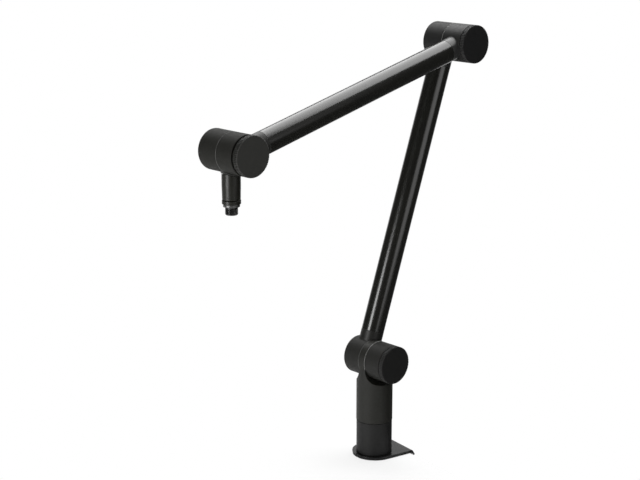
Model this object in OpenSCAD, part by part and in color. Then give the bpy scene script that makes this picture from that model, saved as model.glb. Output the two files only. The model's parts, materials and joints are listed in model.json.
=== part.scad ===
// Desk-mounted boom arm for a studio microphone.
//
// Millimetres, Z up. The origin is on the post's axis, at the underside of the foot pad.
// The arm reaches towards -X, the hand knobs face -Y, and the foot's lip points to +X.
//
// Three equal joints are built in a barrel frame: its local Z is the barrel's axis and
// points to the knob, its local X is the model's X and its local Y is the model's Z.

/* [Arm] */
// Height of the shoulder axis above the desk
shoulder_height = 134; // [130:1:165]
// Distance from the shoulder axis to the elbow axis
lower_length = 436.5; // [300:0.5:520]
// Distance from the elbow axis to the head axis
upper_length = 398.7; // [280:0.1:480]
// Lean of the lower tube from upright, in degrees
lower_lean = 19.3; // [0:0.1:45]
// Slope of the upper tube below level, in degrees
upper_slope = 14.6; // [-10:0.1:38]

/* [Tubes] */
// Outer diameter of both tubes
tube_d = 30.5; // [27:0.5:32]
// Wall thickness of both tubes
tube_wall = 2; // [1.5:0.25:3]

/* [Joint barrels] */
// Diameter of the three joint barrels
barrel_d = 50.5; // [48:0.5:56]
// Thickness of the ear between the halves of the shoulder joint
ear_t = 11; // [10:0.5:13]
// Thickness of the hand knobs
knob_t = 7; // [6:0.5:10]
// Number of grip ribs around each knob
knob_ribs = 72; // [48:4:90]

/* [Foot and post] */
// Thickness of the foot plate
plate_t = 2.2; // [2.2:0.1:3]
// Thickness of the rubber pad under the plate
pad_t = 2; // [1:0.5:3]
// Distance from the post's axis to the start of the lip's bend
plate_reach = 41; // [34:0.5:60]
// Angle that the lip is bent down by
lip_angle = 60; // [30:1:90]
// Turn of the foot about the post's axis, in degrees
foot_turn = -9; // [-45:1:45]
// Height of the seam between the collar and the swivelling post
seam_height = 49.5; // [44:0.5:52]

/* [Head] */
// Distance from the head axis to the end of the neck
neck_length = 57.3; // [54:0.1:70]
// Width of the open groove between the head drum and its knob
head_groove = 3.5; // [0.5:0.5:4]
// Length of bare thread below the clip washer
thread_length = 10; // [8:0.5:14]

/* [Hidden] */
$fn = 96;

// Fits
running_fit = 0.05;   // radial, a shaft in a bearing or a thread that turns
seat_gap = 0.05;      // between pieces that are fixed together
face_gap = 0.3;       // between the facing ends of pieces that turn against each other
swing_gap = 0.4;      // radial, where one piece swings around a barrel
edge = 0.6;           // broken outer edges

// Arm
tube_r = tube_d / 2;
tube_bore_r = tube_r - tube_wall;
lower_offset = -tube_r - 1;         // of the lower tube from the middle of the joint
upper_offset = tube_r + 0.4;
shoulder = [0, 0, shoulder_height];
elbow = shoulder + lower_length * [sin(lower_lean), 0, cos(lower_lean)];
head = elbow - upper_length * [cos(upper_slope), 0, sin(upper_slope)];
lower_up = 90 - lower_lean;        // lower tube seen from the shoulder, barrel frame
lower_down = lower_up + 180;       // lower tube seen from the elbow
upper_out = 180 + upper_slope;     // upper tube seen from the elbow
upper_back = upper_slope;          // upper tube seen from the head
straight_down = 270;

// Barrels, measured along their axis from the middle of the joint
barrel_r = barrel_d / 2;
far_end = -tube_d - 3.5;
near_end = tube_d + 1;
seam = face_gap / 2;
ear_half = ear_t / 2;
far_edge = 1.6;
collar_start = barrel_r - 10;
collar_end = barrel_r + 9.6;
spigot_end = collar_end + 22;

// Clamping stack on each joint's axis
stud_r = 4;
journal_r = 5;
bush_r = 7;
hex_across = 11;
stud_far_end = far_end + 10.5;
journal_start = -9;
hex_start = near_end - 13;
shoulder_bush_end = near_end - 21;
pocket_floor = near_end - 11;
hex_end = near_end - 9;
pocket_r = 14;
disc_r = 20;
disc_bore_r = 8;
disc_t = 1.2;
disc_pocket = 1;
washer_r = 13;
washer_t = 1.5;
spring_t = 0.5;
spring_pitch = 1;
spring_count = 4;
boss_end = near_end - 4.5;
boss_r = 10.5;
insert_r = 7.5;
insert_end = near_end + 4.5;
knob_start = near_end + 0.5;
knob_end = knob_start + knob_t;
rib_depth = 1;

// Foot and post
plate_top = pad_t + plate_t;
post_r = barrel_r - 0.9;
collar_r = post_r - 0.4;
plate_r = barrel_r + 5;
foot_centre = 1;      // of the round front, from the post's axis towards the lip
bend_inner = 1.5;
lip_length = 6.4;
lip_w = 2 * (plate_r - edge);
collar_top = seam_height - 0.4;
ring_bottom = seam_height - 1.2;
ring_outer_r = collar_r - 2.6;
ring_inner_r = 10.5;
spindle_r = 8;
spindle_top = seam_height + 40.5;
spigot_r = 7.5;
flange_r = 14;
flange_t = 4;
desk_bolt_r = 5;
desk_bolt_depth = 30;
groove_r = 6.5;
groove_w = 4;
groove_z = spindle_top - 4;
swivel_bush_r = 10;
swivel_bush_top = seam_height + 32.5;
cavity_r = 8.6;
grub_r = 3;
grub_tip_r = 1.8;
screw_count = 3;
screw_circle_r = (flange_r + collar_r) / 2 - 0.3;
screw_r = 2;
screw_head_r = 3.9;
screw_head_h = 1.9;
screw_top = plate_top + 9.6;
scoop_r = post_r - 3.5;
scoop_z = shoulder_height - barrel_r / 2 + 2.8;

// Head, measured down the neck from the head axis
neck_offset = -2.3;
neck_top_r = 11.6;
neck_end_r = 10.9;
saddle_r = barrel_r + 1.8;
neck_spigot_start = barrel_r - 10;
neck_spigot_end = barrel_r + 20;
neck_flare = [[3.4, -7.2], [1.7, -3.2], [0.7, -0.7], [0.3, 1.8]]; // [beyond the neck's radius, beyond barrel_r]
shank_start = neck_spigot_end - 16;
thread_r = 7.94;
relief_r = 7.4;
relief_w = 1;
ring_start = neck_length + 0.6;
ring_end = ring_start + 4.5;
clip_start = ring_end + face_gap;
clip_end = clip_start + 3.3;
thread_end = clip_end + thread_length;

black = [0.07, 0.07, 0.075];
dark = [0.12, 0.12, 0.13];
steel = [0.55, 0.56, 0.58];
rubber = [0.05, 0.05, 0.05];
plastic = [0.85, 0.85, 0.82];
fibre = [0.30, 0.26, 0.22];
brass = [0.75, 0.60, 0.30];

// ---------------------------------------------------------------- helpers

// Barrel frame of the joint at point p
module barrel_frame(p) {
    translate(p)
        rotate([90, 0, 0])
            children();
}

// Inside a barrel frame: local Z leaves the joint at an angle, shifted along the barrel
module leaving(angle, offset) {
    translate([0, 0, offset])
        rotate([0, 0, angle])
            rotate([0, 90, 0])
                children();
}

// Straight round bar between two heights
module bar(r, z0, z1) {
    translate([0, 0, z0])
        cylinder(h = z1 - z0, r = r);
}

// Hexagonal bar between two heights
module hex_bar(across, z0, z1) {
    translate([0, 0, z0])
        cylinder(h = z1 - z0, d = across / cos(30), $fn = 6);
}

// Round bar with both ends' edges rounded
module soft_bar(r, z0, z1, low_edge, high_edge) {
    low = [for (a = [-90:22.5:0]) [r - low_edge + low_edge * cos(a), z0 + low_edge + low_edge * sin(a)]];
    high = [for (a = [0:22.5:90]) [r - high_edge + high_edge * cos(a), z1 - high_edge + high_edge * sin(a)]];
    rotate_extrude()
        polygon(concat([[0, z0]], low, high, [[0, z1]]));
}

// Everything between two planes square to Z
module slab(z0, z1) {
    translate([-100, -100, z0])
        cube([200, 200, z1 - z0]);
}

// Ring between two heights
module ring(inner_r, outer_r, z0, z1) {
    difference() {
        bar(outer_r, z0, z1);
        bar(inner_r, z0 - 1, z1 + 1);
    }
}

// ---------------------------------------------------------------- joint pieces

// Collar that carries a tube: a stub out of the barrel, a shoulder and a hollow spigot
module tube_collar() {
    difference() {
        rotate_extrude()
            polygon([
                [0, collar_start],
                [tube_r, collar_start],
                [tube_r, collar_end],
                [tube_bore_r - seat_gap, collar_end],
                [tube_bore_r - seat_gap, spigot_end - 1],
                [tube_bore_r - 1, spigot_end],
                [0, spigot_end]
            ]);
        bar(tube_bore_r - 3.5, collar_end, spigot_end + 1);
    }
}

// Tube between two collars, drawn along Z from the first joint's axis
module boom_tube(length) {
    ring(tube_bore_r, tube_r, collar_end + seat_gap, length - collar_end - seat_gap);
}

// Threaded blind hole and journal seat for the joint's stud in a far half
module stud_seat(face) {
    bar(stud_r + seat_gap, stud_far_end - 1, journal_start + 1);
    bar(journal_r + seat_gap, journal_start - seat_gap, face + 1);
    bar(disc_r + seat_gap, face - disc_pocket, face + 1);
}

// Stud that a knob tightens: thread, journal, hexagon for the key washer, thread
module joint_stud(hex_from) {
    soft_bar(stud_r, stud_far_end, journal_start, 0.5, 0.1);
    bar(journal_r, journal_start, hex_from);
    hex_bar(hex_across, hex_from, hex_end);
    soft_bar(stud_r, hex_end, insert_end - 1, 0.1, 0.8);
}

// Friction disc whose bedded side is at z0
module friction_disc(z0) {
    ring(disc_bore_r, disc_r, z0, z0 + disc_t);
}

// Washer that slides on the stud's hexagon but can't turn on it
module key_washer() {
    difference() {
        soft_bar(washer_r, pocket_floor + face_gap, pocket_floor + face_gap + washer_t, 0.2, 0.2);
        hex_bar(hex_across + 2 * running_fit, pocket_floor, hex_end + 1);
    }
}

// Stack of disc springs, set face to face and back to back
module disc_springs() {
    rise = spring_pitch - spring_t - 0.05;
    for (i = [0:spring_count - 1]) {
        low = hex_end + 0.4 + i * spring_pitch;
        inner_lift = i % 2 == 0 ? rise : 0;
        outer_lift = rise - inner_lift;
        rotate_extrude()
            polygon([
                [stud_r + 0.4, low + inner_lift],
                [boss_r - 0.5, low + outer_lift],
                [boss_r - 0.5, low + outer_lift + spring_t],
                [stud_r + 0.4, low + inner_lift + spring_t]
            ]);
    }
}

// Hand knob with a ribbed rim, a boss for the insert and a flat outer face
module hand_knob() {
    pitch = 360 / knob_ribs;
    rim = [for (i = [0:knob_ribs - 1], p = [[0, 1], [0.45, 1], [0.6, 0], [0.85, 0]])
        (barrel_r - rib_depth * (1 - p[1])) * [cos((i + p[0]) * pitch), sin((i + p[0]) * pitch)]];
    difference() {
        union() {
            intersection() {
                translate([0, 0, knob_start])
                    linear_extrude(knob_t)
                        polygon(rim);
                soft_bar(barrel_r, knob_start, knob_end, 0.8, 0.8);
            }
            bar(boss_r, boss_end, knob_start + 1);
        }
        bar(insert_r + seat_gap, boss_end - 1, insert_end + seat_gap);
        bar(stud_r + 0.4, insert_end - 1, insert_end + 0.6);
    }
}

// Threaded insert pressed into a knob's boss
module knob_insert() {
    ring(stud_r + running_fit, insert_r, boss_end + seat_gap, insert_end);
}

// Near half of the elbow or the head joint: barrel, collar of the upper tube, bearing and
// pocket. The groove is the open width left in front of the knob.
module turning_drum(angle, groove) {
    face = knob_start - groove;
    difference() {
        union() {
            soft_bar(barrel_r, seam, face, edge, edge);
            intersection() {
                leaving(angle, upper_offset)
                    tube_collar();
                slab(seam + 0.2, near_end);
            }
        }
        bar(barrel_r + swing_gap, face, near_end + 1);
        bar(bush_r + seat_gap, 0, pocket_floor + 1);
        bar(pocket_r, pocket_floor, near_end + 1);
    }
}

// Sleeve bearing of the elbow or the head joint
module drum_bush() {
    ring(journal_r + running_fit, bush_r, seam + 0.35, hex_start - 0.5);
}

// ---------------------------------------------------------------- foot and post

// Foot outline as a solid: round in front, straight sides, cut square at the back
module foot_outline(r, reach, z0, z1) {
    translate([foot_centre, 0, 0])
        bar(r, z0, z1);
    translate([foot_centre, -r, z0])
        cube([reach - foot_centre, 2 * r, z1 - z0]);
}

// Places children on the circle of plate screws
module on_screw_circle() {
    for (i = [0:screw_count - 1])
        rotate([0, 0, i * 360 / screw_count])
            translate([screw_circle_r, 0, 0])
                children();
}

module desk_pad() {
    color(rubber)
        rotate([0, 0, foot_turn])
            difference() {
                foot_outline(plate_r - edge, plate_reach - edge, 0, pad_t - seat_gap);
                bar(spindle_r, -1, pad_t + 1);
                on_screw_circle()
                    bar(screw_head_r + 1.6, -1, pad_t + 1);
            }
}

module base_plate() {
    color(black)
        rotate([0, 0, foot_turn])
            difference() {
                union() {
                    foot_outline(plate_r, plate_reach, pad_t, plate_top);
                    translate([plate_reach, lip_w / 2, pad_t - bend_inner])
                        rotate([90, 0, 0])
                            bent_lip();
                }
                bar(spigot_r + seat_gap, 0, plate_top + 1);
                on_screw_circle() {
                    bar(screw_r + 0.1, 0, plate_top + 1);
                    translate([0, 0, pad_t - 0.1])
                        cylinder(h = screw_head_h + 0.1, r1 = screw_head_r + 0.2, r2 = screw_r + 0.1);
                }
            }
}

// Bend and lip, drawn about the bend's axis with the plate's width along Z
module bent_lip() {
    rotate([0, 0, 90 - lip_angle]) {
        rotate_extrude(angle = lip_angle)
            translate([bend_inner, 0])
                square([plate_t, lip_w]);
        translate([bend_inner, -lip_length, 0])
            cube([plate_t, lip_length, lip_w]);
    }
}

module plate_screws() {
    color(steel)
        rotate([0, 0, foot_turn])
            on_screw_circle()
                difference() {
                    union() {
                        translate([0, 0, pad_t])
                            cylinder(h = screw_head_h, r1 = screw_head_r, r2 = screw_r);
                        bar(screw_r, pad_t + screw_head_h - 0.01, screw_top);
                    }
                    hex_bar(2.5, 0, pad_t + 1.5);
                }
}

module swivel_spindle() {
    color(steel)
        difference() {
            union() {
                bar(spigot_r, 0, plate_top + 1);
                bar(flange_r, plate_top + seat_gap, plate_top + flange_t);
                soft_bar(spindle_r, plate_top + 1, spindle_top, 0.1, 0.8);
            }
            bar(desk_bolt_r, -1, desk_bolt_depth);
            ring(groove_r, spindle_r + 1, groove_z - groove_w / 2, groove_z + groove_w / 2);
        }
}

module base_collar() {
    color(black)
        difference() {
            soft_bar(collar_r, plate_top + seat_gap, collar_top, 0.3, edge);
            bar(spindle_r + seat_gap, plate_top, collar_top + 1);
            bar(flange_r + seat_gap, plate_top, plate_top + flange_t + seat_gap);
            bar(ring_outer_r + seat_gap, ring_bottom - seat_gap, collar_top + 1);
            rotate([0, 0, foot_turn])
                on_screw_circle()
                    bar(screw_r + seat_gap, plate_top, screw_top + 1);
        }
}

module thrust_ring() {
    color(plastic)
        ring(ring_inner_r, ring_outer_r, ring_bottom, seam_height - 0.1);
}

// One scooped shoulder of the post, on the side where sign is -1 or 1
module post_scoop(sign) {
    barrel_frame(shoulder) {
        bar(barrel_r + 0.5, sign > 0 ? ear_half : -60, sign > 0 ? 60 : -ear_half);
        translate([-60, scoop_z - shoulder_height, sign > 0 ? ear_half : -60])
            cube([120, 60, 60 - ear_half]);
        translate([-60, scoop_z - shoulder_height, sign * (ear_half + scoop_r)])
            rotate([0, 90, 0])
                bar(scoop_r, 0, 120);
    }
}

module post() {
    color(black)
        difference() {
            union() {
                difference() {
                    soft_bar(post_r, seam_height, shoulder_height, edge, 0.1);
                    post_scoop(-1);
                    post_scoop(1);
                }
                barrel_frame(shoulder)
                    soft_bar(barrel_r, -ear_half, ear_half, edge, edge);
            }
            barrel_frame(shoulder)
                bar(bush_r + seat_gap, -ear_t, ear_t);
            bar(swivel_bush_r + seat_gap, seam_height - 1, swivel_bush_top);
            bar(cavity_r, seam_height, spindle_top + 2);
            translate([0, 0, groove_z])
                rotate([-90, 0, 0])
                    bar(grub_r + seat_gap, 0, post_r + 1);
        }
}

module swivel_bush() {
    color(plastic)
        ring(spindle_r + running_fit, swivel_bush_r, seam_height + 0.1, swivel_bush_top - 0.1);
}

// Grub screw whose tip rides in the spindle's groove
module retaining_screw() {
    color(steel)
        translate([0, 0, groove_z])
            rotate([-90, 0, 0])
                difference() {
                    union() {
                        bar(grub_tip_r, groove_r + 0.2, cavity_r + 2);
                        bar(grub_r, cavity_r + 1, post_r - 0.6);
                    }
                    hex_bar(3, post_r - 4, post_r + 1);
                }
}

module shoulder_bush() {
    color(plastic)
        barrel_frame(shoulder)
            ring(journal_r + running_fit, bush_r, 0.1 - ear_half, ear_half - 0.1);
}

// ---------------------------------------------------------------- shoulder and lower tube

module shoulder_hub() {
    color(black)
        barrel_frame(shoulder)
            difference() {
                union() {
                    soft_bar(barrel_r, far_end, -ear_half - face_gap, far_edge, edge);
                    intersection() {
                        leaving(lower_up, lower_offset)
                            tube_collar();
                        slab(far_end, -seam - 0.2);
                    }
                }
                bar(barrel_r + swing_gap, -ear_half - face_gap, 10);
                stud_seat(-ear_half - face_gap);
            }
}

module shoulder_drum() {
    color(black)
        barrel_frame(shoulder)
            difference() {
                soft_bar(barrel_r, ear_half + face_gap, near_end, edge, edge);
                bar(disc_r + seat_gap, 0, ear_half + face_gap + disc_pocket);
                bar(bush_r, 0, shoulder_bush_end);
                hex_bar(hex_across + 2 * running_fit, 0, near_end);
                bar(pocket_r, pocket_floor, near_end + 1);
            }
}

module shoulder_discs() {
    color(fibre)
        barrel_frame(shoulder) {
            friction_disc(-ear_half - seat_gap - disc_t);
            friction_disc(ear_half + seat_gap);
        }
}

module shoulder_stud() {
    color(steel)
        barrel_frame(shoulder)
            joint_stud(shoulder_bush_end + 1);
}

module shoulder_key_washer() {
    color(steel)
        barrel_frame(shoulder)
            key_washer();
}

module shoulder_springs() {
    color(steel)
        barrel_frame(shoulder)
            disc_springs();
}

module lower_tube() {
    color(dark)
        barrel_frame(shoulder)
            leaving(lower_up, lower_offset)
                boom_tube(lower_length);
}

// ---------------------------------------------------------------- elbow and upper tube

module elbow_hub() {
    color(black)
        barrel_frame(elbow)
            difference() {
                union() {
                    soft_bar(barrel_r, far_end, -seam, far_edge, edge);
                    intersection() {
                        leaving(lower_down, lower_offset)
                            tube_collar();
                        slab(far_end, -seam - 0.2);
                    }
                }
                stud_seat(-seam);
            }
}

module elbow_disc() {
    color(fibre)
        barrel_frame(elbow)
            friction_disc(seam - seat_gap - disc_t);
}

module elbow_stud() {
    color(steel)
        barrel_frame(elbow)
            joint_stud(hex_start);
}

module elbow_key_washer() {
    color(steel)
        barrel_frame(elbow)
            key_washer();
}

module elbow_springs() {
    color(steel)
        barrel_frame(elbow)
            disc_springs();
}

module elbow_drum() {
    color(black)
        barrel_frame(elbow)
            turning_drum(upper_out, knob_start - near_end);
}

module elbow_bush() {
    color(plastic)
        barrel_frame(elbow)
            drum_bush();
}

module upper_tube() {
    color(dark)
        barrel_frame(elbow)
            leaving(upper_out, upper_offset)
                boom_tube(upper_length);
}

// ---------------------------------------------------------------- head

module head_drum() {
    color(black)
        barrel_frame(head)
            turning_drum(upper_back, head_groove);
}

module head_bush() {
    color(plastic)
        barrel_frame(head)
            drum_bush();
}

// Flange that blends the far half into the neck, and the spigot inside the neck
module neck_root() {
    intersection() {
        leaving(straight_down, neck_offset)
            rotate_extrude()
                polygon(concat(
                    [[0, neck_spigot_start]],
                    [for (step = neck_flare) [neck_top_r + step[0], barrel_r + step[1]]],
                    [[0, barrel_r + neck_flare[3][1]]]
                ));
        bar(saddle_r, far_end, near_end);
    }
    leaving(straight_down, neck_offset)
        bar(spigot_r, neck_spigot_start, neck_spigot_end);
}

module head_hub() {
    color(black)
        barrel_frame(head)
            difference() {
                union() {
                    soft_bar(barrel_r, far_end, -seam, far_edge, edge);
                    neck_root();
                }
                bar(barrel_r + swing_gap, -seam, near_end);
                stud_seat(-seam);
                leaving(straight_down, neck_offset)
                    bar(stud_r + seat_gap, shank_start - 1, neck_spigot_end + 1);
            }
}

module head_disc() {
    color(fibre)
        barrel_frame(head)
            friction_disc(seam - seat_gap - disc_t);
}

module head_stud() {
    color(steel)
        barrel_frame(head)
            joint_stud(hex_start);
}

module head_key_washer() {
    color(steel)
        barrel_frame(head)
            key_washer();
}

module head_springs() {
    color(steel)
        barrel_frame(head)
            disc_springs();
}

// Sleeve around the spigot, cut to the barrel's curve at the top and tapered to the end
module neck_tube() {
    color(black)
        barrel_frame(head)
            difference() {
                leaving(straight_down, neck_offset)
                    difference() {
                        rotate_extrude()
                            polygon([
                                [0, 20],
                                [neck_top_r, 20],
                                [neck_top_r, neck_spigot_end - 5],
                                [neck_end_r + 0.3, neck_length - 0.4],
                                [neck_end_r, neck_length],
                                [0, neck_length]
                            ]);
                        bar(spigot_r + seat_gap, 0, neck_spigot_end + seat_gap);
                        bar(stud_r + seat_gap, 0, neck_length + 1);
                    }
                bar(saddle_r + 0.5, far_end, near_end);
            }
}

module mic_stud() {
    color(steel)
        barrel_frame(head)
            leaving(straight_down, neck_offset) {
                soft_bar(stud_r, shank_start, neck_length + 1, 0.5, 0.1);
                bar(thread_r, neck_length + seat_gap, clip_end - relief_w);
                bar(relief_r, clip_end - relief_w, clip_end);
                bar(thread_r, clip_end, thread_end - 1);
                translate([0, 0, thread_end - 1])
                    cylinder(h = 1, r1 = thread_r, r2 = thread_r - 1);
            }
}

module clip_washer() {
    color(steel)
        barrel_frame(head)
            leaving(straight_down, neck_offset)
                difference() {
                    soft_bar(neck_end_r - 0.6, clip_start, clip_end, 0.4, 0.4);
                    bar(thread_r + seat_gap, clip_start - 1, clip_end + 1);
                }
}

module lock_ring() {
    color(steel)
        barrel_frame(head)
            leaving(straight_down, neck_offset)
                difference() {
                    soft_bar(neck_top_r, ring_start, ring_end, 0.4, 0.4);
                    bar(thread_r + running_fit, ring_start - 1, ring_end + 1);
                }
}

// ---------------------------------------------------------------- knobs

module shoulder_knob() {
    color(black)
        barrel_frame(shoulder)
            hand_knob();
}

module shoulder_insert() {
    color(brass)
        barrel_frame(shoulder)
            knob_insert();
}

module elbow_knob() {
    color(black)
        barrel_frame(elbow)
            hand_knob();
}

module elbow_insert() {
    color(brass)
        barrel_frame(elbow)
            knob_insert();
}

module head_knob() {
    color(black)
        barrel_frame(head)
            hand_knob();
}

module head_insert() {
    color(brass)
        barrel_frame(head)
            knob_insert();
}

desk_pad();
base_plate();
plate_screws();
swivel_spindle();
base_collar();
thrust_ring();
post();
swivel_bush();
retaining_screw();
shoulder_bush();
shoulder_hub();
shoulder_drum();
shoulder_discs();
shoulder_stud();
shoulder_key_washer();
shoulder_springs();
lower_tube();
elbow_hub();
elbow_disc();
elbow_stud();
elbow_key_washer();
elbow_springs();
elbow_drum();
elbow_bush();
upper_tube();
head_drum();
head_bush();
head_hub();
head_disc();
head_stud();
head_key_washer();
head_springs();
neck_tube();
mic_stud();
clip_washer();
lock_ring();
shoulder_knob();
shoulder_insert();
elbow_knob();
elbow_insert();
head_knob();
head_insert();
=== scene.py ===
import json
import math

import bmesh
import bpy
from mathutils import Matrix, Vector


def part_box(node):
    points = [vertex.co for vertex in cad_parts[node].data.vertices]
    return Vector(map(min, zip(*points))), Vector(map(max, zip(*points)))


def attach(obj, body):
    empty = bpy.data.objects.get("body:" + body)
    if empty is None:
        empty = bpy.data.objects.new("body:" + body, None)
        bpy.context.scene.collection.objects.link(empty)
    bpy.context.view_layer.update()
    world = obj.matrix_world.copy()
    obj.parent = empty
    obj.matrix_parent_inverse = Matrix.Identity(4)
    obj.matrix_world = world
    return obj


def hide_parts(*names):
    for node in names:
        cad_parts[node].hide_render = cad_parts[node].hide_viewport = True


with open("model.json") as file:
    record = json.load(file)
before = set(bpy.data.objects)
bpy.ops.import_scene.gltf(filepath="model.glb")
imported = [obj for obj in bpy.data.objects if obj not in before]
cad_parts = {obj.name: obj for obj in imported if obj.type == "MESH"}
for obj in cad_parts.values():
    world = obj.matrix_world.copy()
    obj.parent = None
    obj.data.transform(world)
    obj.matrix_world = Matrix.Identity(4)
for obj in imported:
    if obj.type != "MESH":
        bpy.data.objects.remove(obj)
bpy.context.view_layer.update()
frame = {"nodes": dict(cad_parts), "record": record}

nodes = frame["nodes"]
record = frame["record"]
joints = {joint["name"]: joint for joint in record["behaviour"]["joints"]}
scene = bpy.context.scene

MM = 0.001
ALONG, ACROSS, UP = Vector((1.0, 0.0, 0.0)), Vector((0.0, 1.0, 0.0)), Vector((0.0, 0.0, 1.0))
SHOULDER = Vector(joints["shoulder_tilt"]["pos_m"])
ELBOW = Vector(joints["elbow_tilt"]["pos_m"])
HEAD = Vector(joints["head_tilt"]["pos_m"])
knob_low, knob_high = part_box("elbow_knob")
BARREL_R = (knob_high[0] - knob_low[0]) / 2


# ------------------------------------------------------------------ camera

LENS, SENSOR = 85.28, 36.0
CAMERA_AT = (-1.3635, -1.3690, 0.7795)
AZIMUTH, PITCH = math.radians(-42.71), math.radians(14.01)


def photo_camera():
    """Camera at the photograph's place, looking down a little along its azimuth."""
    data = bpy.data.cameras.new("camera")
    data.lens = LENS
    data.sensor_width = SENSOR
    data.clip_start = 0.05
    data.clip_end = 50.0
    camera = bpy.data.objects.new("camera", data)
    scene.collection.objects.link(camera)
    level = math.cos(PITCH)
    looking = Vector((-math.sin(AZIMUTH) * level, math.cos(AZIMUTH) * level, -math.sin(PITCH)))
    camera.location = CAMERA_AT
    camera.rotation_mode = "QUATERNION"
    camera.rotation_quaternion = looking.to_track_quat("-Z", "Y")
    bpy.context.scene.camera = camera


photo_camera()


# ------------------------------------------------------------------ material helpers

NOISE_LOW, NOISE_HIGH = 0.3, 0.7    # most of a noise lies between these
NOISE_ROUGHNESS = 0.55
PATCH_SCALE, GLOSS_SCALE, GRAIN_SCALE, LINE_SCALE = 38.0, 260.0, 2200.0, 900.0
PEBBLE_DEPTH = 0.04 * MM
LINE_DEPTH, LINE_STRENGTH = 0.02 * MM, 0.08
BEVEL_SAMPLES = 8
COLLAR_CLEAR = 0.1 * MM     # a collar starts this far outside its barrel
CREST_DEPTH = 0.15 * MM     # of a knob's ribs, from the outside
RIM_SHARE = 0.07            # of a knob's length, from its face
FACE_NORMAL = -0.93         # Y of a normal that still belongs to a knob's face
GRIP_NORMAL = 0.35          # Y of a normal that still belongs to its grip


def add_node(tree, kind, inputs=None, **settings):
    """New shader node, with each of its inputs set to a value or linked from a socket."""
    node = tree.nodes.new("ShaderNode" + kind)
    for key, value in settings.items():
        setattr(node, key, value)
    for key, value in (inputs or {}).items():
        if isinstance(value, bpy.types.NodeSocket):
            tree.links.new(value, node.inputs[key])
        else:
            node.inputs[key].default_value = value
    return node


def new_material(name):
    material = bpy.data.materials.new(name)
    material.use_nodes = True
    tree = material.node_tree
    return material, tree, tree.nodes["Principled BSDF"]


def maths(tree, operation, first, second):
    return add_node(tree, "Math", {0: first, 1: second}, operation=operation).outputs["Value"]


def noise(tree, scale, detail=4.0, stretch=None):
    """Noise over the object's own coordinates, drawn out into lines where a stretch is given."""
    point = add_node(tree, "TexCoord").outputs["Object"]
    if stretch is not None:
        point = add_node(tree, "Mapping", {"Scale": stretch, "Vector": point}).outputs["Vector"]
    inputs = {"Scale": scale, "Detail": detail, "Roughness": NOISE_ROUGHNESS, "Vector": point}
    return add_node(tree, "TexNoise", inputs).outputs["Fac"]


def spread(tree, value, new_range, old_range=(NOISE_LOW, NOISE_HIGH), interpolation="LINEAR"):
    """Carries a value over from one range to another."""
    inputs = {"Value": value, "From Min": old_range[0], "From Max": old_range[1],
              "To Min": new_range[0], "To Max": new_range[1]}
    return add_node(tree, "MapRange", inputs, interpolation_type=interpolation).outputs["Result"]


def blend_colours(tree, factor, first, second):
    """From the first to the second by a factor, both of them a colour or a socket."""
    inputs = {"Factor": factor}
    for side, shade in (("A", first), ("B", second)):
        inputs[side] = (*shade, 1.0) if isinstance(shade, tuple) else shade
    return add_node(tree, "Mix", inputs, data_type="RGBA").outputs["Result"]


def shade_normal(tree, shader, radius, height=None, strength=0.0, depth=0.0):
    """Rounds the edges by a small radius, and adds a fine bump where a height is given."""
    normal = add_node(tree, "Bevel", {"Radius": radius}, samples=BEVEL_SAMPLES).outputs["Normal"]
    if height is not None:
        inputs = {"Strength": strength, "Distance": depth, "Height": height, "Normal": normal}
        normal = add_node(tree, "Bump", inputs).outputs["Normal"]
    tree.links.new(normal, shader.inputs["Normal"])


def along_y(tree, output):
    """The Y part of one of the texture coordinates: a joint's axis is its pieces' Y."""
    vector = add_node(tree, "TexCoord").outputs[output]
    return add_node(tree, "SeparateXYZ", {"Vector": vector}).outputs["Y"]


def farther_than(tree, joint, radius):
    """1 farther than the radius from the joint's axis, and 0 nearer."""
    point = add_node(tree, "TexCoord").outputs["Object"]
    offset = add_node(tree, "VectorMath", {0: point, 1: joint}, operation="SUBTRACT")
    inputs = {0: offset.outputs["Vector"], 1: UP + ALONG}
    flat = add_node(tree, "VectorMath", inputs, operation="MULTIPLY")
    distance = add_node(tree, "VectorMath", {0: flat.outputs["Vector"]}, operation="LENGTH")
    return maths(tree, "GREATER_THAN", distance.outputs["Value"], radius)


def coated(name, dark, light, rough, grain=GRAIN_SCALE, bump=0.12, edge=0.4 * MM, specular=0.3,
           joint=None, collar_rough=0.38, collar_painted_sheen=0.010):
    """Fine-grained coat: mottled colour, uneven gloss and a small pebbled bump.

    Where a joint is given, the collar outside the barrel has a gloss of its own and lighter colours, a
    painted sheen that stands in for its highlights.
    """
    material, tree, shader = new_material(name)
    patches = noise(tree, PATCH_SCALE, detail=5.0)
    colour = blend_colours(tree, patches, dark, light)
    roughness = spread(tree, noise(tree, GLOSS_SCALE), rough)
    height = noise(tree, grain, detail=2.0) if bump else None
    shade_normal(tree, shader, edge, height, bump, PEBBLE_DEPTH)
    shader.inputs["Specular IOR Level"].default_value = specular
    if joint:
        on_collar = farther_than(tree, joint, BARREL_R + COLLAR_CLEAR)
        inputs = {"Factor": on_collar, "A": roughness, "B": collar_rough}
        roughness = add_node(tree, "Mix", inputs).outputs["Result"]
        # Lighter collar colours: painted sheen in place of the collar's highlights
        sheen_shades = [tuple(channel + collar_painted_sheen for channel in shade) for shade in (dark, light)]
        colour = blend_colours(tree, on_collar, colour, blend_colours(tree, patches, *sheen_shades))
    tree.links.new(colour, shader.inputs["Base Color"])
    tree.links.new(roughness, shader.inputs["Roughness"])
    return material


def turned(name, dark, light, rough, stretch):
    """Turned or drawn metal: fine lines across the stretch direction."""
    material, tree, shader = new_material(name)
    lines = noise(tree, LINE_SCALE, detail=3.0, stretch=stretch)
    tree.links.new(blend_colours(tree, lines, dark, light), shader.inputs["Base Color"])
    tree.links.new(spread(tree, lines, rough), shader.inputs["Roughness"])
    shader.inputs["Metallic"].default_value = 1.0
    shade_normal(tree, shader, 0.3 * MM, lines, LINE_STRENGTH, LINE_DEPTH)
    return material


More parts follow.
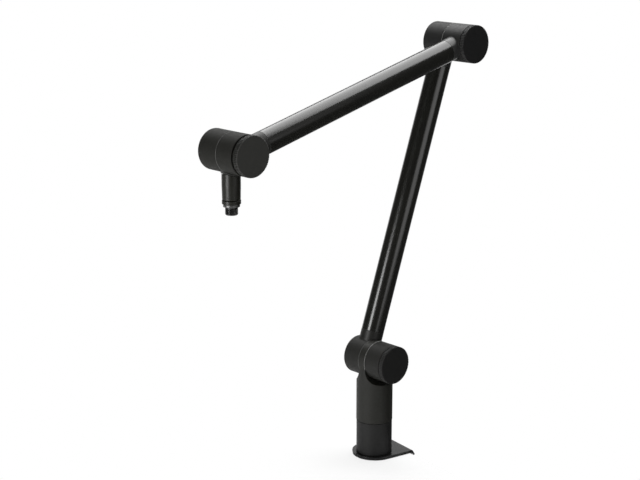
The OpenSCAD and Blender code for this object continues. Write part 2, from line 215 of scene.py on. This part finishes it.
def face_edge_mask(tree):
    """1 on the bevel around a hand knob's face, where the painted highlight of its rim goes, and 0
    elsewhere.
    """
    near_face = maths(tree, "LESS_THAN", along_y(tree, "Generated"), RIM_SHARE)
    off_face = maths(tree, "GREATER_THAN", along_y(tree, "Normal"), FACE_NORMAL)
    return maths(tree, "MULTIPLY", near_face, off_face)


def knob_finish(name, joint, dark, light, crest_highlight, groove_shade, rim_highlight=None):
    """Coat of a hand knob: a plain face, painted shade over the grip with a painted highlight on the
    crests of its ribs, and a painted highlight on the rim around the face where one is given.
    """
    material = coated(name, dark, light, (0.48, 0.60), edge=0.2 * MM)
    tree = material.node_tree
    base_colour = tree.nodes["Principled BSDF"].inputs["Base Color"]
    plain = base_colour.links[0].from_socket
    lean = maths(tree, "ABSOLUTE", along_y(tree, "Normal"), 0.0)
    on_grip = maths(tree, "LESS_THAN", lean, GRIP_NORMAL)
    on_crest = maths(tree, "MULTIPLY", on_grip, farther_than(tree, joint, BARREL_R - CREST_DEPTH))
    # Painted shade over the whole grip, and a painted highlight on the crests of its ribs
    colour = blend_colours(tree, on_grip, plain, groove_shade)
    colour = blend_colours(tree, on_crest, colour, crest_highlight)
    # Painted highlight on the bevel around the face
    if rim_highlight:
        colour = blend_colours(tree, face_edge_mask(tree), colour, rim_highlight)
    tree.links.new(colour, base_colour)
    return material


# ------------------------------------------------------------------ materials

# Coats of the barrels, the post and its collar
CASTING_EDGE = 0.6 * MM
housing = coated(
    "housing_coat", (0.0070, 0.0070, 0.0052), (0.0108, 0.0108, 0.0082), (0.50, 0.62), edge=CASTING_EDGE)
collar_coat = coated(
    "collar_coat", (0.0038, 0.0038, 0.0037), (0.0066, 0.0066, 0.0064), (0.50, 0.62), edge=CASTING_EDGE)
shoulder_housing = coated(
    "shoulder_coat", (0.0078, 0.0078, 0.0066), (0.0116, 0.0116, 0.0098), (0.60, 0.70),
    edge=CASTING_EDGE, specular=0.26, joint=SHOULDER, collar_rough=0.42, collar_painted_sheen=0.002)
elbow_housing = coated(
    "elbow_coat", (0.0078, 0.0078, 0.0075), (0.0118, 0.0118, 0.0111), (0.48, 0.60),
    edge=CASTING_EDGE, specular=0.32, joint=ELBOW, collar_rough=0.30, collar_painted_sheen=0.022)
elbow_hub_housing = coated(
    "elbow_hub_coat", (0.0080, 0.0080, 0.0077), (0.0120, 0.0120, 0.0113), (0.58, 0.68),
    edge=CASTING_EDGE, specular=0.27, joint=ELBOW)
head_housing = coated(
    "head_coat", (0.0076, 0.0076, 0.0060), (0.0112, 0.0112, 0.0090), (0.66, 0.76),
    edge=CASTING_EDGE, specular=0.22, joint=HEAD)

# Hand knobs of one design: the head's face is painted lighter and the elbow's darker than the shoulder's,
# as painted light and shade
shoulder_knob_coat = knob_finish(
    "shoulder_knob_coat", SHOULDER, (0.0045, 0.0045, 0.0043), (0.0075, 0.0075, 0.0071),
    crest_highlight=(0.030, 0.030, 0.029), groove_shade=(0.002, 0.002, 0.002))
elbow_knob_coat = knob_finish(
    "elbow_knob_coat", ELBOW, (0.0012, 0.0012, 0.0012), (0.0030, 0.0030, 0.0030),
    crest_highlight=(0.050, 0.050, 0.049), groove_shade=(0.002, 0.002, 0.002))
head_knob_coat = knob_finish(
    "head_knob_coat", HEAD, (0.0215, 0.0215, 0.0190), (0.0285, 0.0285, 0.0254),
    crest_highlight=(0.024, 0.024, 0.021), groove_shade=(0.004, 0.004, 0.004), rim_highlight=(0.060, 0.060, 0.056))

# Smooth finishes: the foot's paint, the neck, the clip's washer, the tubes and the stud
plate_paint = coated(
    "plate_paint", (0.004, 0.004, 0.0039), (0.0065, 0.0065, 0.0063), (0.20, 0.26), grain=900.0,
    bump=0.1, edge=0.5 * MM, specular=0.285)
neck_coat = coated(
    "neck_coat", (0.0060, 0.0060, 0.0040), (0.0095, 0.0095, 0.0066), (0.32, 0.36), bump=0.0,
    edge=0.3 * MM, specular=0.31)
washer_coat = coated(
    "washer_coat", (0.020, 0.020, 0.019), (0.030, 0.030, 0.029), (0.26, 0.34), bump=0.0, specular=1.0)
tube_finish = coated(
    "tube_anodised", (0.006, 0.006, 0.0048), (0.010, 0.010, 0.0080), (0.19, 0.22), bump=0.0,
    edge=0.2 * MM, specular=0.55)
black_steel = coated(
    "black_steel", (0.004, 0.004, 0.004), (0.007, 0.007, 0.007), (0.10, 0.16), bump=0.0,
    edge=0.3 * MM, specular=0.6)

# Rubber, friction discs and plastic bearings
pad_rubber = coated("pad_rubber", (0.012, 0.012, 0.012), (0.020, 0.020, 0.020), (0.78, 0.90), bump=0.35)
fibre = coated(
    "friction_fibre", (0.10, 0.08, 0.06), (0.20, 0.16, 0.12), (0.70, 0.85), grain=1500.0, bump=0.5)
acetal = coated("bearing_plastic", (0.62, 0.61, 0.56), (0.70, 0.69, 0.64), (0.35, 0.45), bump=0.05)

# Bare metals, all of them inside or underneath
ACROSS_Z, ACROSS_Y = (1.0, 1.0, 12.0), (1.0, 12.0, 1.0)     # stretches of a noise into fine lines
bright_steel = turned("bright_steel", (0.42, 0.43, 0.44), (0.56, 0.57, 0.58), (0.22, 0.38), ACROSS_Z)
spring_steel = turned("spring_steel", (0.16, 0.17, 0.19), (0.26, 0.27, 0.30), (0.30, 0.45), ACROSS_Y)
brass = turned("insert_brass", (0.60, 0.42, 0.16), (0.74, 0.54, 0.24), (0.22, 0.36), ACROSS_Y)

# Lighter chamfer rings at the seams, coat rubbed off and a painted highlight of the chamfers: two of them
# are painted brighter than the others
worn_edge_and_highlight = coated(
    "worn_edge_and_highlight", (0.21, 0.21, 0.205), (0.29, 0.29, 0.283), (0.45, 0.60), bump=0.0, edge=0.0)
faint_edge_and_highlight = coated(
    "faint_edge_and_highlight", (0.09, 0.09, 0.088), (0.13, 0.13, 0.127), (0.50, 0.64), bump=0.0, edge=0.0)

BY_SLOT = {
    "foot_paint": plate_paint,
    "pad_rubber": pad_rubber,
    "housing": housing,
    "knob_coat": elbow_knob_coat,
    "tube_anodised": tube_finish,
    "neck_coat": neck_coat,
    "black_steel": black_steel,
    "bright_steel": bright_steel,
    "spring_steel": spring_steel,
    "bearing_plastic": acetal,
    "friction_fibre": fibre,
    "insert_brass": brass,
}
BY_NODE = {
    "base_collar": collar_coat,
    "shoulder_knob": shoulder_knob_coat,
    "elbow_knob": elbow_knob_coat,
    "head_knob": head_knob_coat,
    "clip_washer": washer_coat,
    "shoulder_hub": shoulder_housing,
    "shoulder_drum": shoulder_housing,
    "elbow_hub": elbow_hub_housing,
    "elbow_drum": elbow_housing,
    "head_drum": head_housing,
    "head_hub": head_housing,
}
for entry in record["subparts"]:
    target = nodes[entry["node"]]
    finish = BY_NODE.get(entry["node"], BY_SLOT[entry["material_slot"]])
    if not target.material_slots:
        target.data.materials.append(finish)
    for slot in target.material_slots:
        slot.material = finish


# ------------------------------------------------------------------ piece helpers

TURN = 2.0 * math.pi
SHARP = math.radians(30.0)


def link_mesh(name, data):
    piece = bpy.data.objects.new(name, data)
    scene.collection.objects.link(piece)
    return piece


def lathe(name, centre, axis, outline, segments=256, surface=None):
    """Closed outline of (radius, distance along the axis) turned about an axis through the centre.

    surface(radius, along, angle) moves a radius by its angle.
    """
    mesh = bmesh.new()
    rings = []
    for radius, along in outline:
        ring = []
        for k in range(segments):
            angle = TURN * k / segments
            reach = surface(radius, along, angle) if surface else radius
            ring.append(mesh.verts.new((reach * math.cos(angle), reach * math.sin(angle), along)))
        rings.append(ring)
    for here, there in zip(rings, rings[1:] + rings[:1]):
        for k in range(segments):
            after = (k + 1) % segments
            mesh.faces.new((here[k], here[after], there[after], there[k])).smooth = True
    mesh.normal_update()
    for edge in mesh.edges:
        if len(edge.link_faces) == 2 and edge.calc_face_angle(0.0) > SHARP:
            edge.smooth = False
    bmesh.ops.recalc_face_normals(mesh, faces=mesh.faces)
    onto_axis = axis.normalized().to_track_quat("Z", "Y").to_matrix().to_4x4()
    mesh.transform(Matrix.Translation(centre) @ onto_axis)
    data = bpy.data.meshes.new(name)
    mesh.to_mesh(data)
    mesh.free()
    return link_mesh(name, data)


def dress(piece, body, material):
    piece.data.materials.append(material)
    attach(piece, body)


def thread_profile(pitch, depth, length):
    """How far a V thread cuts in, by place and angle: it fades out at both ends."""
    def cut(along, angle):
        turn = (along / pitch + angle / TURN) % 1.0
        fade = max(0.0, min(1.0, along / pitch, (length - along) / pitch))
        return depth * fade * abs(2.0 * turn - 1.0)
    return cut


# ------------------------------------------------------------------ tubes

BROKEN_EDGE = 0.3 * MM


def boom_tube(node, body, start, end):
    """Tube with broken ends, as long and as thick as the CAD tube that it replaces."""
    axis = (end - start).normalized()
    low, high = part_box(node)
    centre = Vector((start.x, (low[1] + high[1]) / 2, start.z))
    outer = (high[1] - low[1]) / 2
    offsets = [vertex.co - centre for vertex in nodes[node].data.vertices]
    along = [offset.dot(axis) for offset in offsets]
    inner = min((offset - axis * offset.dot(axis)).length for offset in offsets)
    first, last = min(along), max(along)
    outline = [(inner, first), (outer - BROKEN_EDGE, first), (outer, first + BROKEN_EDGE),
               (outer, last - BROKEN_EDGE), (outer - BROKEN_EDGE, last), (inner, last)]
    piece = lathe(node + "_drawn", centre, axis, outline)
    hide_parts(node)
    dress(piece, body, tube_finish)


boom_tube("lower_tube", "lower_arm", SHOULDER, ELBOW)
boom_tube("upper_tube", "upper_arm", ELBOW, HEAD)


# ------------------------------------------------------------------ rings on the joints

EAR_HALF = 5.5 * MM         # half the thickness of the post's ear
SEAM_HALF = 0.15 * MM
CHAMFER = 0.36 * MM
CHAMFER_BACK = 1.2 * CHAMFER
KNOB_THICK = 7.0 * MM
RING_GAP = 0.2 * MM         # between the knob's back and the dust ring
RING_SUNK = 1.0 * MM        # from the drum's face to the ring's end inside it
RING_OUTSIDE = BARREL_R - 1.4 * MM
RING_INSIDE = BARREL_R - 4.0 * MM


def seam_ring(name, body, joint, face, finish):
    """Chamfer ring around a barrel's edge that faces the knob, at a distance from the joint; its lighter
    colour is worn coat and a painted highlight of the chamfer.
    """
    outline = [(BARREL_R, CHAMFER), (BARREL_R - CHAMFER, 0.0), (BARREL_R - CHAMFER_BACK, CHAMFER_BACK)]
    dress(lathe(name, joint + ACROSS * face, ACROSS, outline), body, finish)


def dust_ring():
    """Ring in the groove between the head's drum and its knob."""
    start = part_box("head_knob")[0][1] + KNOB_THICK + RING_GAP
    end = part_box("head_drum")[0][1] + RING_SUNK
    outline = [(RING_OUTSIDE, start), (RING_OUTSIDE, end), (RING_INSIDE, end), (RING_INSIDE, start)]
    piece = lathe("head_dust_ring", Vector((HEAD.x, 0.0, HEAD.z)), ACROSS, outline)
    dress(piece, "upper_arm", head_housing)


seam_ring("shoulder_hub_chamfer", "lower_arm", SHOULDER, EAR_HALF + 2 * SEAM_HALF, faint_edge_and_highlight)
seam_ring("post_ear_chamfer", "post", SHOULDER, -EAR_HALF, worn_edge_and_highlight)
seam_ring("elbow_hub_chamfer", "lower_arm", ELBOW, SEAM_HALF, worn_edge_and_highlight)
seam_ring("head_hub_chamfer", "mic_head", HEAD, SEAM_HALF, faint_edge_and_highlight)
dust_ring()


# ------------------------------------------------------------------ threads

STUD_PITCH, STUD_DEPTH = 0.941 * MM, 0.55 * MM      # 5/8 inch with 27 threads to the inch
STUD_ROWS, STUD_SEGMENTS = 96, 128
STUD_CORE = 0.2 * MM                                # a turned outline doesn't touch its axis
STUD_NOSE = 1.0 * MM
SHANK_R, SHANK_NOSE = 4.0 * MM, 0.5 * MM
BOLT_R, BOLT_PITCH, BOLT_DEPTH = 5.0 * MM, 1.5 * MM, 0.8 * MM
BOLT_FROM, BOLT_REACH = 0.6 * MM, 28.0 * MM
BOLT_ROWS, BOLT_SEGMENTS = 160, 96
LINER_BACK, LINER_FACE = BOLT_R - 0.02 * MM, BOLT_R - 0.04 * MM


def clip_stud():
    """Threaded stud for the microphone clip, with a plain shank up into the neck."""
    low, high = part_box("mic_stud")
    stud_r = (high[1] - low[1]) / 2
    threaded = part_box("clip_washer")[0][2] - low[2]
    shank_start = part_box("lock_ring")[1][2] - low[2]
    top = high[2] - low[2]
    cut = thread_profile(STUD_PITCH, STUD_DEPTH, threaded)

    def surface(radius, along, angle):
        if radius < stud_r - STUD_NOSE or along > threaded:
            return radius
        return radius - cut(along, angle)

    outline = [(STUD_CORE, 0.0), (stud_r - STUD_NOSE, 0.0)]
    for i in range(STUD_ROWS + 1):
        along = threaded * i / STUD_ROWS
        outline.append((stud_r - max(0.0, STUD_NOSE - along), along))
    outline += [(stud_r, shank_start), (SHANK_R, shank_start), (SHANK_R, top - SHANK_NOSE),
                (SHANK_R - SHANK_NOSE, top), (STUD_CORE, top)]
    foot = Vector((HEAD.x, (low[1] + high[1]) / 2, low[2]))
    piece = lathe("mic_stud_threaded", foot, UP, outline, STUD_SEGMENTS, surface)
    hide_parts("mic_stud")
    dress(piece, "mic_head", black_steel)


def bolt_thread():
    """Thread of the desk bolt's hole, as a thin liner that is seen from underneath."""
    cut = thread_profile(BOLT_PITCH, BOLT_DEPTH, BOLT_REACH)

    def surface(radius, along, angle):
        return radius if radius > LINER_FACE else radius - cut(along - BOLT_FROM, angle)

    outline = [(LINER_BACK, BOLT_FROM + BOLT_REACH), (LINER_BACK, BOLT_FROM)]
    outline += [(LINER_FACE, BOLT_FROM + BOLT_REACH * i / BOLT_ROWS) for i in range(BOLT_ROWS + 1)]
    piece = lathe("desk_bolt_thread", Vector((0.0, 0.0, 0.0)), UP, outline, BOLT_SEGMENTS, surface)
    dress(piece, "base", bright_steel)


clip_stud()
bolt_thread()


# ------------------------------------------------------------------ floor and world

SHADOW_SHARE = 0.25                     # of the floor that the camera sees right beside the foot
SHADOW_FROM, SHADOW_TO = 0.05, 0.17     # distances from the post between which it fades to none
FLOOR_HALF = 3.0
FLOOR_EDGE = 41.5 * MM                  # from the post to the desk's edge, inside the foot's lip
NOTCH_INSET = 1.5 * MM
NOTCH_STEPS = 32
FOOT_TURN = math.radians(-9.0)
PAPER_SCALE, PAPER_ROUGHNESS = 60.0, 0.9
ROOM_LEVEL = 0.07
WHITE = (1.0, 1.0, 1.0, 1.0)


def choose(tree, factor, first, second):
    """The first shader where the factor is 0, the second where it is 1."""
    return add_node(tree, "MixShader", {"Fac": factor, 1: first, 2: second}).outputs["Shader"]


def camera_sees(tree, surface, shown):
    """Camera rays meet one shader, every other ray meets the real surface."""
    return choose(tree, add_node(tree, "LightPath").outputs["Is Camera Ray"], surface, shown)


def floor_paper():
    """Pale paper that camera rays pass to the white world, so that it cuts no pose off.

    They see a share of it around the foot, where its soft shadow lies. Rays from below all pass it.
    """
    material, tree, shader = new_material("floor_paper")
    paper = noise(tree, PAPER_SCALE, detail=3.0)
    colour = blend_colours(tree, paper, (0.80, 0.80, 0.80), (0.84, 0.84, 0.84))
    tree.links.new(colour, shader.inputs["Base Color"])
    shader.inputs["Roughness"].default_value = PAPER_ROUGHNESS
    point = add_node(tree, "TexCoord").outputs["Object"]
    from_post = add_node(tree, "VectorMath", {0: point}, operation="LENGTH").outputs["Value"]
    share = spread(tree, from_post, (SHADOW_SHARE, 0.0), (SHADOW_FROM, SHADOW_TO), "SMOOTHSTEP")
    paper_shader = shader.outputs["BSDF"]
    clear = add_node(tree, "BsdfTransparent").outputs["BSDF"]
    from_above = camera_sees(tree, paper_shader, choose(tree, share, clear, paper_shader))
    backfacing = add_node(tree, "NewGeometry").outputs["Backfacing"]
    either_side = choose(tree, backfacing, from_above, clear)
    tree.links.new(either_side, tree.nodes["Material Output"].inputs["Surface"])
    return material


def desk_top():
    """Floor that ends at the foot's lip, with a notch under the foot that lets light reach the pad."""
    notch_r = -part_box("desk_pad")[0][0] - NOTCH_INSET
    outline = [(FLOOR_EDGE, -notch_r), (0.0, -notch_r)]
    for k in range(1, NOTCH_STEPS):
        angle = math.pi * k / NOTCH_STEPS
        outline.append((-notch_r * math.sin(angle), -notch_r * math.cos(angle)))
    outline += [(0.0, notch_r), (FLOOR_EDGE, notch_r), (FLOOR_EDGE, FLOOR_HALF), (-FLOOR_HALF, FLOOR_HALF),
                (-FLOOR_HALF, -FLOOR_HALF), (FLOOR_EDGE, -FLOOR_HALF)]
    data = bpy.data.meshes.new("desk_top")
    data.from_pydata([(x, y, 0.0) for x, y in outline], [], [list(range(len(outline)))])
    data.transform(Matrix.Rotation(FOOT_TURN, 4, "Z"))
    data.materials.append(floor_paper())
    link_mesh("desk_top", data)


def studio_world():
    """White for the camera, and dim for every other ray."""
    world = bpy.data.worlds.new("studio")
    scene.world = world
    world.use_nodes = True
    tree = world.node_tree
    room = tree.nodes["Background"]
    room.inputs["Color"].default_value = WHITE
    room.inputs["Strength"].default_value = ROOM_LEVEL
    white = add_node(tree, "Background", {"Color": WHITE, "Strength": 1.0}).outputs["Background"]
    seen = camera_sees(tree, room.outputs["Background"], white)
    tree.links.new(seen, tree.nodes["World Output"].inputs["Surface"])


desk_top()
studio_world()


# ------------------------------------------------------------------ lights

# Name, place, aim, width, height and brightness, which a change of size leaves as it is
LIGHTS = (
    ("softbox_top", (0.80, 0.44, 1.95), (0.05, 0.1, 0.4), 3.3, 1.5, 5.0),
    ("softbox_left", (-1.75, -0.03, 0.35), (0.05, 0.0, 0.35), 0.62, 1.0, 11.5),
    ("softbox_right", (0.10, -1.80, 0.62), (0.05, 0.0, 0.35), 1.30, 1.0, 1.7),
    ("backdrop", (1.7, 1.9, 0.2), (0.0, 0.0, 0.4), 3.6, 2.0, 1.0),
    ("card_front", (0.39, -1.35, 1.01), (-0.05, 0.0, 0.5), 0.9, 1.1, 0.30),
    ("under_desk", (-0.4, -0.4, -1.2), (0.0, 0.0, 0.0), 1.6, 1.6, 2.2),
)


def area_light(name, location, aim, width, height, brightness):
    data = bpy.data.lights.new(name, "AREA")
    data.shape = "RECTANGLE"
    data.size = width
    data.size_y = height
    data.energy = brightness * math.pi * width * height
    light = bpy.data.objects.new(name, data)
    light.location = location
    light.rotation_mode = "QUATERNION"
    light.rotation_quaternion = (Vector(aim) - Vector(location)).to_track_quat("-Z", "Y")
    light.visible_camera = False
    scene.collection.objects.link(light)


for light in LIGHTS:
    area_light(*light)

scene.view_settings.view_transform = "Standard"
